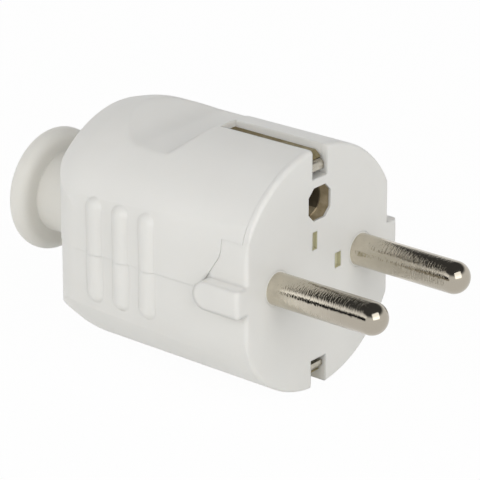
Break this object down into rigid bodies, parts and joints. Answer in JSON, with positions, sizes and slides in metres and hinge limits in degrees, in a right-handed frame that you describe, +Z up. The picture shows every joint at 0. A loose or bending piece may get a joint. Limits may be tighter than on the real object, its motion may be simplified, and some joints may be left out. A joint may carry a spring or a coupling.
{
  "type": "rewireable earthed mains plug",
  "caption": "White rewireable mains plug with round pins, earth strips, an earth-pin socket, side guides, grip ribs and a trumpet-mouthed cord guard.",
  "frame": {"origin": "middle of the engagement face, half way between the two pins", "axes": "+X the way the pins point, +Z up towards the earth-pin socket, the pins in the plane Z = 0"},
  "size_m": [0.0708, 0.0366, 0.0363],
  "materials": {
    "white_shell": "off-white moulded thermoplastic, satin gloss",
    "white_guard": "off-white moulded flexible plastic",
    "nickel_plate": "bright nickel plate over turned or pressed brass",
    "earth_brass": "plain rolled brass",
    "zinc_steel": "zinc-plated steel"
  },
  "bodies": {
    "root": {"base_shell": "white_shell", "cover_shell": "white_shell", "cord_guard": "white_guard", "line_pin": "nickel_plate", "neutral_pin": "nickel_plate", "line_terminal_screw": "zinc_steel", "neutral_terminal_screw": "zinc_steel", "earth_bracket": "nickel_plate", "earth_strip_top": "earth_brass", "earth_strip_bottom": "earth_brass", "earth_socket": "earth_brass", "earth_clamp_plate": "zinc_steel", "earth_screw": "zinc_steel", "cord_clamp": "white_shell", "cord_clamp_screws": "zinc_steel", "housing_screw": "zinc_steel"}
  },
  "joints": []
}
